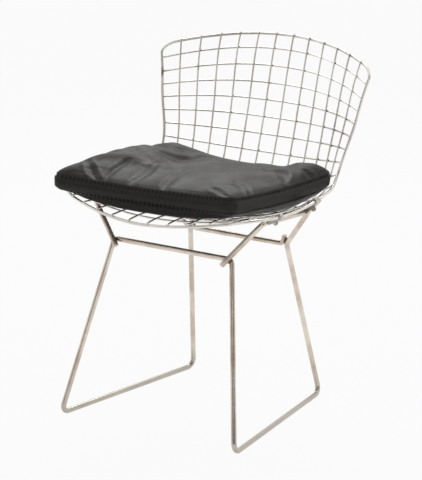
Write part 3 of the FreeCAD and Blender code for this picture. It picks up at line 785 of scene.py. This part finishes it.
def placesOnPad(points):
    # (u, v) of each point, from padPlan turned round by a few Newton steps
    frontLeft, frontRight, rearRight, rearLeft = (
        numpy.array(pad[key], dtype=float) for key in ("frontLeft", "frontRight", "rearRight", "rearLeft"))
    rearRight[1] += pad["rearLean"]
    rearLeft[1] += pad["rearLean"]
    wanted = points[:, :2] / mm
    u, v = numpy.zeros(len(points)), numpy.zeros(len(points))
    for _ in range(5):
        front = frontLeft * ((1 - u) / 2)[:, None] + frontRight * ((1 + u) / 2)[:, None]
        rear = rearLeft * ((1 - u) / 2)[:, None] + rearRight * ((1 + u) / 2)[:, None]
        error = front * ((1 - v) / 2)[:, None] + rear * ((1 + v) / 2)[:, None] - wanted
        alongU = ((frontRight - frontLeft) * ((1 - v) / 4)[:, None]
                  + (rearRight - rearLeft) * ((1 + v) / 4)[:, None])
        alongV = (rear - front) / 2
        area = alongU[:, 0] * alongV[:, 1] - alongU[:, 1] * alongV[:, 0]
        u = u - (error[:, 0] * alongV[:, 1] - error[:, 1] * alongV[:, 0]) / area
        v = v - (alongU[:, 0] * error[:, 1] - alongU[:, 1] * error[:, 0]) / area
    return u, v


def foldDepths(u, v):
    # how far each point of the top sinks into a fold, in mm, and how pale its crests are, part wear and part
    # painted highlight
    halfWidth = (padPlan(1, 0) - padPlan(-1, 0)).length / 2 / mm
    halfDepth = (padPlan(0, 1) - padPlan(0, -1)).length / 2 / mm
    spot = numpy.stack([u * halfWidth, v * halfDepth], axis=1)
    swing = pad["foldSwing"] * sum(height * numpy.sin(spot[:, 0] / across + spot[:, 1] / down)
                                   for height, across, down in pad["waves"])
    depth, crestWearAndHighlight = numpy.zeros(len(u)), numpy.zeros(len(u))
    for route, deep, half in pad["folds"]:
        line = smoothLine([Vector((a * halfWidth, b * halfDepth, 0)) for a, b in route], 8)
        line = numpy.array([p[:2] for p in line])
        nearest = numpy.full(len(u), 1e9)
        share = numpy.zeros(len(u))
        for k in range(len(line) - 1):
            run = line[k + 1] - line[k]
            t = numpy.clip(((spot - line[k]) @ run) / (run @ run), 0, 1)
            apart = numpy.linalg.norm(spot - line[k] - t[:, None] * run, axis=1)
            closer = apart < nearest
            nearest = numpy.where(closer, apart, nearest)
            share = numpy.where(closer, (k + t) / (len(line) - 1), share)
        # a fold is shallow and narrow at its ends
        placeAlong = pad["foldTip"] + (1 - pad["foldTip"]) * share
        taper = numpy.sin(math.pi * numpy.clip(placeAlong, 0, 1)) ** 0.6
        x = numpy.abs(nearest + swing) / (half * (0.75 + 0.5 * taper))
        valley = numpy.exp(-x ** 2)
        shoulder = numpy.exp(-((x - pad["shoulderPlace"]) / pad["shoulderWidth"]) ** 2)
        depth += deep * taper * (valley - pad["shoulderHeight"] * shoulder)
        # paler crests: part wear, part painted highlight
        crestWearAndHighlight += abs(deep) / 4 * taper * (shoulder if deep > 0 else valley)
    return depth, crestWearAndHighlight


def bulgeBelly(points, v):
    # under the front seam the bottom panel bulges forward before it lies on the wires
    below = (seamHeight(0, -1) - points[:, 2]) / pad["bellyHeight"]
    share = numpy.clip(below, 0, 1) * numpy.exp(-((v - pad["bellyPlace"]) / pad["bellySpread"]) ** 2)
    points[:, 1] -= pad["bellyReach"] * share


def pressSeams(piece, seams):
    # grooves along the seams with a raised lip on each side, then the folds of the top
    mesh = piece.data
    count = len(mesh.vertices)
    points, normals = numpy.empty(count * 3), numpy.empty(count * 3)
    mesh.vertices.foreach_get("co", points)
    mesh.vertices.foreach_get("normal", normals)
    points, normals = points.reshape(-1, 3), normals.reshape(-1, 3)
    gap = numpy.array([seams.find(point)[2] for point in points])
    sink = pad["grooveDepth"] * numpy.exp(-(gap / pad["grooveReach"]) ** 2)
    puff = pad["puff"] * (1 - numpy.exp(-(gap / pad["puffReach"]) ** 2))
    sink -= puff * numpy.where(normals[:, 2] < pad["facingDown"], pad["puffUnder"], 1.0)
    lips = numpy.exp(-((gap - pad["lipDistance"]) / pad["grooveReach"]) ** 2)
    sink -= pad["lipHeight"] * lips
    u, v = placesOnPad(points)
    depth, crestWearAndHighlight = foldDepths(u, v)
    begins, whole = pad["topFacing"]
    onTop = numpy.clip((normals[:, 2] - begins) / (whole - begins), 0, 1)
    fromSeam = numpy.clip(gap / pad["foldStart"], 0, 1)
    sink += depth * mm * onTop * (pad["foldAtSeam"] + (1 - pad["foldAtSeam"]) * fromSeam)
    points = points - normals * sink[:, None]
    bulgeBelly(points, v)
    mesh.vertices.foreach_set("co", points.ravel())
    # paler fold crests, part wear and part painted highlight, plus a painted highlight on the lips beside
    # each seam
    wearAndHighlight = mesh.attributes.new("wearAndHighlight", "FLOAT", "POINT")
    shade = numpy.clip(crestWearAndHighlight * onTop * fromSeam + pad["lipHighlight"] * lips, 0, 1) * pad["wearAndHighlightStrength"]
    wearAndHighlight.data.foreach_set("value", shade)
    # painted shade in the crevice of each seam
    creviceShade = mesh.attributes.new("creviceShade", "FLOAT", "POINT")
    dark = pad["creviceShadeStrength"] * numpy.exp(-(gap / pad["creviceShadeReach"]) ** 2)
    creviceShade.data.foreach_set("value", dark)
    mesh.update()


def stitchRow(shape, surface, line, offset):
    # short twisted-thread stitches lying on the leather, beside a seam
    lengths = [0.0]
    for k in range(len(line)):
        lengths.append(lengths[-1] + (line[(k + 1) % len(line)] - line[k]).length)
    count = int(lengths[-1] / pad["stitchPitch"])
    radius = pad["threadDiameter"] / 2
    turns = [2 * math.pi * corner / pad["threadSides"] for corner in range(pad["threadSides"])]
    k = 0
    for number in range(count):
        wanted = lengths[-1] * number / count
        while lengths[k + 1] < wanted:
            k += 1
        start, after = line[k], line[(k + 1) % len(line)]
        along = (after - start).normalized()
        spot = start + along * (wanted - lengths[k]) + offset
        touch, normal, _, _ = surface.find_nearest(spot)
        along = (along - normal * along.dot(normal)).normalized()
        side = normal.cross(along)
        rings = []
        for step, size, lift in pad["stitchRings"]:
            centre = touch + along * (step * pad["stitchLength"]) + normal * (radius * lift)
            ring = []
            for turn in turns:
                outward = side * math.cos(turn) + normal * math.sin(turn)
                ring.append(shape.verts.new(centre + outward * radius * size))
            rings.append(ring)
        for low, high in zip(rings, rings[1:]):
            for corner in range(pad["threadSides"]):
                shape.faces.new((low[corner - 1], low[corner], high[corner], high[corner - 1]))
        shape.faces.new(rings[0])
        shape.faces.new(list(reversed(rings[-1])))


def buildPad():
    piece = startShape()
    low, high = seamLine(False), seamLine(True)
    seamPoints = low + high + cornerSeams()
    seams = KDTree(len(seamPoints))
    for k, point in enumerate(seamPoints):
        seams.insert(point, k)
    seams.balance()
    swell(piece, seams)
    finer = piece.modifiers.new("finer", "SUBSURF")
    finer.levels = finer.render_levels = 1
    bakeModifiers(piece)
    pressSeams(piece, seams)
    mesh = piece.data
    mesh.polygons.foreach_set("use_smooth", [True] * len(mesh.polygons))
    mesh.materials.clear()
    mesh.materials.append(padLeather)
    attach(piece, "seat_pad")
    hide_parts("pad_cover", "pad_filling")
    print("seat pad:", len(mesh.vertices), "points")
    surface = BVHTree.FromPolygons([v.co[:] for v in mesh.vertices],
                                   [p.vertices[:] for p in mesh.polygons])
    stitches = bmesh.new()
    stitchRow(stitches, surface, high, Vector((0, 0, -pad["stitchOffset"])))
    stitchRow(stitches, surface, low, Vector((0, 0, pad["stitchOffset"])))
    finishPiece("seam_stitches", stitches, padThread, "seat_pad")
    print("stitches done")


buildPad()


# Floor, background, lights and camera

stage = {
    "floorSize": 50.0,
    "floorColour": "#f4f4f4",
    "floorGlow": 0.94,  # how far the floor is lost in white, for the camera and gloss
    "backdropColour": "#ffffff",
    "fill": 0.3,  # how bright the room is for everything but the camera and gloss
    "photoSide": (0.55, -0.83, 0.0),  # the dark side of the room, where the camera stands
    # how bright the room is for gloss, from the side behind the chair to the photo's side
    "roomBrightness": [(0.0, 1.0), (0.5, 0.97), (0.66, 0.75), (0.8, 0.3), (0.9, 0.16), (1.0, 0.3)],
    # place, target and size in metres, and power in watts
    "overheadSoftbox": ((-0.9, 1.5, 2.4), (0, 0, 0.5), 1.3, 22),
    "frontFill": ((1.4, -2.4, 1.6), (0, 0, 0.3), 1.4, 6),
    # camera, solved from the photograph: yaw, pitch and roll in radians
    "cameraTurn": (0.5829960, 0.2696544, 0.0042641),
    "cameraPlace": (2.66196, -4.05069, 1.70709),
    "lens": 175.035,
    "sensorWidth": 36,
}


def buildWorld():
    world = bpy.data.worlds.new("room")
    bpy.context.scene.world = world
    world.use_nodes = True
    tree = world.node_tree
    tree.nodes.clear()
    path = addNode(tree, "ShaderNodeLightPath")
    direction = addNode(tree, "ShaderNodeTexCoord").outputs["Generated"]
    facing = addNode(tree, "ShaderNodeVectorMath", {0: direction, 1: stage["photoSide"]},
                     operation="DOT_PRODUCT")
    share = addNode(tree, "ShaderNodeMapRange", {"Value": facing.outputs["Value"], "From Min": -1.0,
                                                 "From Max": 1.0})
    room = addNode(tree, "ShaderNodeValToRGB", {"Fac": share.outputs["Result"]},
                   stage["roomBrightness"])
    unseen = addNode(tree, "ShaderNodeMix", {"Factor": path.outputs["Is Glossy Ray"],
                                             "A": [stage["fill"]] * 3 + [1],
                                             "B": room.outputs["Color"]}, data_type="RGBA")
    seen = addNode(tree, "ShaderNodeMix", {"Factor": path.outputs["Is Camera Ray"],
                                           "A": unseen.outputs["Result"],
                                           "B": linearColour(stage["backdropColour"])}, data_type="RGBA")
    light = addNode(tree, "ShaderNodeBackground", {"Color": seen.outputs["Result"], "Strength": 1.0})
    addNode(tree, "ShaderNodeOutputWorld", {"Surface": light.outputs["Background"]})


def buildFloor():
    material = newMaterial("paintedFloor")
    tree = material.node_tree
    path = addNode(tree, "ShaderNodeLightPath")
    paint = addNode(tree, "ShaderNodeBsdfDiffuse", {"Color": linearColour(stage["floorColour"])})
    glow = addNode(tree, "ShaderNodeEmission", {"Color": [1, 1, 1, 1], "Strength": 1.0})
    either = addNode(tree, "ShaderNodeMath", {0: path.outputs["Is Camera Ray"],
                                              1: path.outputs["Is Glossy Ray"]}, operation="MAXIMUM")
    share = addNode(tree, "ShaderNodeMath", {0: either.outputs["Value"], 1: stage["floorGlow"]},
                    operation="MULTIPLY")
    mixed = addNode(tree, "ShaderNodeMixShader", {"Fac": share.outputs["Value"], 1: paint.outputs["BSDF"],
                                                  2: glow.outputs["Emission"]})
    addNode(tree, "ShaderNodeOutputMaterial", {"Surface": mixed.outputs["Shader"]})
    half = stage["floorSize"] / 2
    mesh = bpy.data.meshes.new("floor")
    mesh.from_pydata([(-half, -half, 0), (half, -half, 0), (half, half, 0), (-half, half, 0)], [],
                     [(0, 1, 2, 3)])
    mesh.materials.append(material)
    floor = bpy.data.objects.new("floor", mesh)
    bpy.context.scene.collection.objects.link(floor)


def addSoftLight(name):
    place, target, size, power = stage[name]
    light = bpy.data.lights.new(name, "AREA")
    light.shape = "DISK"
    light.size = size
    light.energy = power
    lamp = bpy.data.objects.new(name, light)
    lamp.location = place
    lamp.rotation_euler = (Vector(target) - Vector(place)).to_track_quat("-Z", "Y").to_euler()
    bpy.context.scene.collection.objects.link(lamp)


def buildCamera():
    yaw, pitch, roll = stage["cameraTurn"]
    forward = Vector((-math.sin(yaw) * math.cos(pitch), math.cos(yaw) * math.cos(pitch),
                      -math.sin(pitch)))
    level = Vector((math.cos(yaw), math.sin(yaw), 0))
    upright = level.cross(forward)
    right = level * math.cos(roll) + upright * math.sin(roll)
    up = upright * math.cos(roll) - level * math.sin(roll)
    camera = bpy.data.cameras.new("photoCamera")
    camera.lens = stage["lens"]
    camera.sensor_width = stage["sensorWidth"]
    holder = bpy.data.objects.new("photoCamera", camera)
    turn = Matrix((right, up, -forward)).transposed()
    holder.matrix_world = Matrix.Translation(stage["cameraPlace"]) @ turn.to_4x4()
    bpy.context.scene.collection.objects.link(holder)
    bpy.context.scene.camera = holder


buildWorld()
buildFloor()
addSoftLight("overheadSoftbox")
addSoftLight("frontFill")
buildCamera()
bpy.context.scene.view_settings.view_transform = "Standard"
print("stage set")
